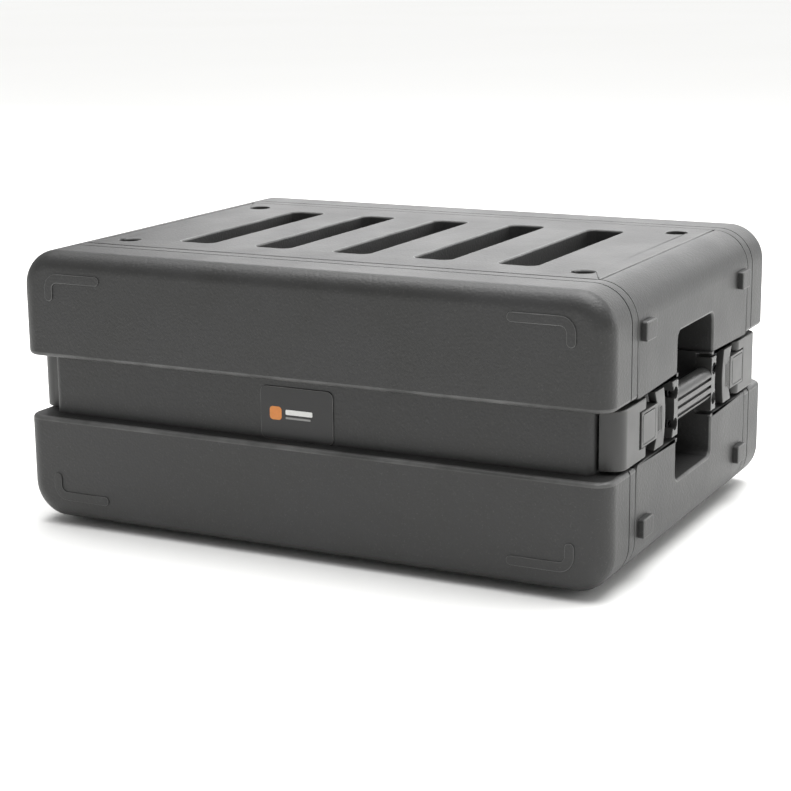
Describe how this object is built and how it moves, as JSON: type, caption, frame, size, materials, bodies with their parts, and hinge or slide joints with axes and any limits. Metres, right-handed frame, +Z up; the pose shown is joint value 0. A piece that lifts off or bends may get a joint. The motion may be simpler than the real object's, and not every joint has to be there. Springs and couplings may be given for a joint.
{
  "type": "equipment rack case",
  "caption": "Moulded rack case for 19-inch audio gear, with a removable latched lid at each end, recessed side handles and fluted top.",
  "frame": {"origin": "centre of the base, on the surface that the feet stand on, midway between the lids and between the sides", "axes": "+X to the right seen from the front, +Y from the front lid to the rear lid, +Z up"},
  "size_m": [0.591, 0.4264, 0.259],
  "materials": {
    "shell_plastic": "charcoal moulded polymer with a fine pebbled texture",
    "latch_plastic": "charcoal glass-filled nylon, smoother than the shell",
    "handle_plastic": "satin charcoal glass-filled nylon",
    "label_vinyl": null,
    "rubber": "black rubber",
    "galvanised_steel": "galvanised sheet",
    "zinc_steel": "bright zinc plate",
    "black_steel": "black oxide",
    "rail_steel": "black powder coat",
    "pin_steel": "ground stainless"
  },
  "bodies": {
    "case": {"top_panel": "shell_plastic", "bottom_panel": "shell_plastic", "left_side_panel": "shell_plastic", "right_side_panel": "shell_plastic", "left_side_frame": "galvanised_steel", "right_side_frame": "galvanised_steel", "frame_screws": "zinc_steel", "front_left_rail": "rail_steel", "front_right_rail": "rail_steel", "rear_left_rail": "rail_steel", "rear_right_rail": "rail_steel", "rail_bolts": "zinc_steel", "rail_nuts": "zinc_steel", "rubber_feet": "rubber", "left_handle": "handle_plastic", "right_handle": "handle_plastic", "handle_screws": "black_steel", "handle_backing_plates": "galvanised_steel", "latch_strikes": "zinc_steel", "strike_screws": "zinc_steel"},
    "front_lid": {"front_lid": "shell_plastic", "front_gasket": "rubber", "label_plate": "label_vinyl", "front_left_latch_block": "latch_plastic", "front_right_latch_block": "latch_plastic", "front_block_screws": "zinc_steel", "front_left_pivot_pin": "pin_steel", "front_right_pivot_pin": "pin_steel"},
    "rear_lid": {"rear_lid": "shell_plastic", "rear_gasket": "rubber", "rear_left_latch_block": "latch_plastic", "rear_right_latch_block": "latch_plastic", "rear_block_screws": "zinc_steel", "rear_left_pivot_pin": "pin_steel", "rear_right_pivot_pin": "pin_steel"},
    "front_left_latch": {"front_left_lever": "latch_plastic", "front_left_spring": "pin_steel"},
    "front_right_latch": {"front_right_lever": "latch_plastic", "front_right_spring": "pin_steel"},
    "rear_left_latch": {"rear_left_lever": "latch_plastic", "rear_left_spring": "pin_steel"},
    "rear_right_latch": {"rear_right_lever": "latch_plastic", "rear_right_spring": "pin_steel"},
    "front_left_trigger": {"front_left_trigger": "latch_plastic"},
    "front_right_trigger": {"front_right_trigger": "latch_plastic"},
    "rear_left_trigger": {"rear_left_trigger": "latch_plastic"},
    "rear_right_trigger": {"rear_right_trigger": "latch_plastic"}
  },
  "joints": [
    {"name": "front_lid_off", "type": "slide", "parent": "case", "child": "front_lid", "axis": [0, -1, 0], "range_m": [0, 0.1]},
    {"name": "rear_lid_off", "type": "slide", "parent": "case", "child": "rear_lid", "axis": [0, 1, 0], "range_m": [0, 0.1]},
    {"name": "front_left_lever_swing", "type": "hinge", "parent": "front_lid", "child": "front_left_latch", "pos_m": [-0.283, -0.1295, 0.1325], "axis": [0, 0, 1], "range_deg": [0, 65]},
    {"name": "front_right_lever_swing", "type": "hinge", "parent": "front_lid", "child": "front_right_latch", "pos_m": [0.283, -0.1295, 0.1325], "axis": [0, 0, -1], "range_deg": [0, 65]},
    {"name": "rear_left_lever_swing", "type": "hinge", "parent": "rear_lid", "child": "rear_left_latch", "pos_m": [-0.283, 0.1295, 0.1325], "axis": [0, 0, -1], "range_deg": [0, 65]},
    {"name": "rear_right_lever_swing", "type": "hinge", "parent": "rear_lid", "child": "rear_right_latch", "pos_m": [0.283, 0.1295, 0.1325], "axis": [0, 0, 1], "range_deg": [0, 65]},
    {"name": "front_left_trigger_press", "type": "slide", "parent": "front_left_latch", "child": "front_left_trigger", "axis": [1, 0, 0], "range_m": [0, 0.0018], "stiffness_N_per_m": 900, "springref_m": -0.001},
    {"name": "front_right_trigger_press", "type": "slide", "parent": "front_right_latch", "child": "front_right_trigger", "axis": [-1, 0, 0], "range_m": [0, 0.0018], "stiffness_N_per_m": 900, "springref_m": -0.001},
    {"name": "rear_left_trigger_press", "type": "slide", "parent": "rear_left_latch", "child": "rear_left_trigger", "axis": [1, 0, 0], "range_m": [0, 0.0018], "stiffness_N_per_m": 900, "springref_m": -0.001},
    {"name": "rear_right_trigger_press", "type": "slide", "parent": "rear_right_latch", "child": "rear_right_trigger", "axis": [-1, 0, 0], "range_m": [0, 0.0018], "stiffness_N_per_m": 900, "springref_m": -0.001}
  ],
  "couplings": [
    {"joint": "front_left_lever_swing", "follows": "front_lid_off", "rad_per_m": 11.3},
    {"joint": "front_right_lever_swing", "follows": "front_lid_off", "rad_per_m": 11.3},
    {"joint": "rear_left_lever_swing", "follows": "rear_lid_off", "rad_per_m": 11.3},
    {"joint": "rear_right_lever_swing", "follows": "rear_lid_off", "rad_per_m": 11.3}
  ]
}
